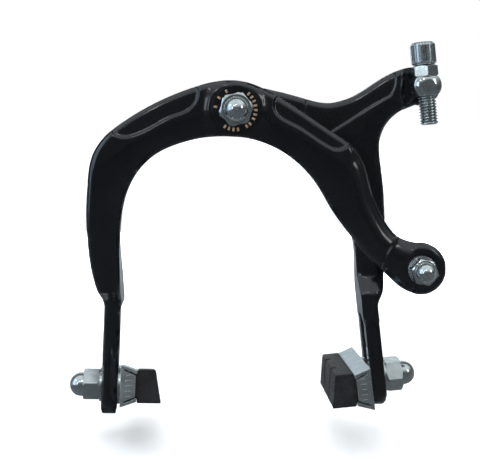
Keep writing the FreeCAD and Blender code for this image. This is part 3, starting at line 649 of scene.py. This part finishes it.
def stage():
    """A pale floor with a painted glow that melts it into white for the camera, and a rising sheet behind it for
    reflections only; in reflections the paper is painted dark.
    """
    floor = cad_box[0].z - FLOOR_GAP
    paper = Recipe("pale_paper", roughness=1.0, specular_ior_level=0.0)
    tone = paper.mix(paper.noise(30, 2.0), (0.87, 0.87, 0.87, 1), (0.89, 0.89, 0.89, 1))
    # Painted reflection: glossy rays see the paper as dark grey, darkest in front and low down.
    in_reflection = paper.tree.nodes.new("ShaderNodeLightPath").outputs["Is Glossy Ray"]
    place = paper.node("SeparateXYZ", Vector=paper.place)
    behind = paper.spread(place.outputs["Y"], -0.05, 0.05, 0.0, 1.0)
    low_down = paper.spread(place.outputs["Z"], floor + 0.02, floor + 0.10, 1.0, 0.0)
    far = paper.mix(low_down, (0.10, 0.11, 0.115, 1), (0.14, 0.15, 0.16, 1))
    seen = paper.mix(behind, (0.06, 0.065, 0.07, 1), far)
    paper.feed("Base Color", paper.mix(in_reflection, tone, seen))
    # Painted glow: for the camera the paper emits white, more with distance from the object, which lifts the
    # shadows under it.
    in_view = paper.tree.nodes.new("ShaderNodeLightPath").outputs["Is Camera Ray"]
    reach = paper.tree.nodes.new("ShaderNodeVectorMath")
    reach.operation = "LENGTH"
    paper.tree.links.new(paper.place, reach.inputs[0])
    glow = paper.spread(reach.outputs["Value"], 0.16, 0.50, 0.25, 1.0)
    shown = paper.tree.nodes.new("ShaderNodeMath")
    shown.operation = "MULTIPLY"
    paper.tree.links.new(in_view, shown.inputs[0])
    paper.tree.links.new(glow, shown.inputs[1])
    paper.shader.inputs["Emission Color"].default_value = (1, 1, 1, 1)
    paper.feed("Emission Strength", shown.outputs["Value"])
    sheet_of_paper("floor", [(-4.0, floor), (4.0, floor)], paper.material)
    turns = [math.pi / 2 * step / 16 for step in range(17)]
    rise = [(BEND_START + BEND_RADIUS * math.sin(turn),
             floor + BEND_RADIUS * (1.001 - math.cos(turn))) for turn in turns]
    sheet_of_paper("backdrop_paper", rise + [(1.0, 3.0)], paper.material).visible_camera = False


def lamp(name, place, aim, size, power, colour=(1, 1, 1), tall=None, spread=180, mirrored=True):
    """A soft rectangular lamp; mirrored says whether shiny surfaces show it."""
    data = bpy.data.lights.new(name, "AREA")
    data.energy = power
    data.color = colour
    data.shape = "RECTANGLE"
    data.size = size
    data.size_y = tall or size
    data.spread = math.radians(spread)
    thing = bpy.data.objects.new(name, data)
    thing.visible_glossy = mirrored
    thing.location = place
    thing.rotation_euler = (Vector(aim) - Vector(place)).to_track_quat("-Z", "Y").to_euler()
    scene.collection.objects.link(thing)


stage()
lamp("overhead", (-0.05, -0.10, 0.80), (0, 0, -0.04), 1.20, 5.0, tall=0.90, mirrored=False)
for index, (x, z) in enumerate(((-0.22, 0.30), (-0.05, 0.38))):
    lamp(f"small_spot_{index}", (x, -0.48, z), (0, 0, -0.06), 0.04, 0.065)
lamp("low_spot", (-0.16, -0.50, -0.17), (0, 0, -0.06), 0.04, 0.10, tall=0.05)
lamp("front_left", (-0.40, -0.48, 0.10), (0, 0, -0.04), 0.10, 0.16, (0.80, 0.92, 1.0), tall=0.22)
lamp("left_window", (-0.62, -0.22, 0.14), (0, 0, -0.05), 0.40, 0.75, (0.55, 0.76, 1.0), tall=0.60)
lamp("right_fill", (0.50, -0.42, 0.22), (0, 0, -0.05), 0.14, 0.30, tall=0.25)
lamp("backdrop", (0.0, 0.25, 0.90), (0, 0.9, 0.35), 1.6, 34.0, tall=0.3,
     spread=110, mirrored=False)


def room():
    """A dim room, brighter overhead and a little blue on the left, that the camera sees as white."""
    world = bpy.data.worlds.new("room")
    world.use_nodes = True
    nodes, links = world.node_tree.nodes, world.node_tree.links
    direction = nodes.new("ShaderNodeSeparateXYZ")
    links.new(nodes.new("ShaderNodeTexCoord").outputs["Generated"], direction.inputs["Vector"])
    levels = []
    for axis, start, end, low, high in (("Z", 0.2, 0.8, 0.08, 0.74), ("X", -0.5, -0.95, 0.0, 0.35)):
        level = nodes.new("ShaderNodeMapRange")
        level.interpolation_type = "SMOOTHSTEP"
        for name, value in (("From Min", start), ("From Max", end), ("To Min", low), ("To Max", high)):
            level.inputs[name].default_value = value
        links.new(direction.outputs[axis], level.inputs["Value"])
        levels.append(level.outputs["Result"])
    total = nodes.new("ShaderNodeMath")
    links.new(levels[0], total.inputs[0])
    links.new(levels[1], total.inputs[1])
    tint = nodes.new("ShaderNodeMix")
    tint.data_type = "RGBA"
    links.new(levels[1], tint.inputs[0])
    tint.inputs[6].default_value = (0.88, 0.95, 1.0, 1)
    tint.inputs[7].default_value = (0.35, 0.65, 1.0, 1)
    links.new(tint.outputs[2], nodes["Background"].inputs["Color"])
    links.new(total.outputs[0], nodes["Background"].inputs["Strength"])
    white = nodes.new("ShaderNodeBackground")
    white.inputs["Color"].default_value = (1, 1, 1, 1)
    seen = nodes.new("ShaderNodeMixShader")
    links.new(nodes.new("ShaderNodeLightPath").outputs["Is Camera Ray"], seen.inputs["Fac"])
    links.new(nodes["Background"].outputs[0], seen.inputs[1])
    links.new(white.outputs[0], seen.inputs[2])
    links.new(seen.outputs[0], nodes["World Output"].inputs["Surface"])
    scene.world = world


room()
scene.view_settings.view_transform = "Standard"

CAMERA_PLACE = (-0.00847, -0.3086, -0.00222)
FOCAL_LENGTH = 63.2
LENS_SHIFT = {"shift_x": 0.0625, "shift_y": -0.2375}
camera = bpy.data.objects.new("camera", bpy.data.cameras.new("camera"))
camera.location = CAMERA_PLACE
camera.rotation_euler = (math.pi / 2, 0, 0)
camera.data.lens = FOCAL_LENGTH
camera.data.sensor_width = 36
camera.data.clip_start = 0.01
scene.collection.objects.link(camera)
scene.camera = camera


def shift_lens(channel, amount):
    """Shifts the lens while the camera stands in its own place.
    """
    curve = camera.data.driver_add(channel)
    curve.driver.type = "SUM"
    mode = curve.driver.variables.new()
    mode.targets[0].id = camera
    mode.targets[0].data_path = "rotation_mode"
    curve.modifiers[0].coefficients = (0, amount)


for channel, amount in LENS_SHIFT.items():
    shift_lens(channel, amount)
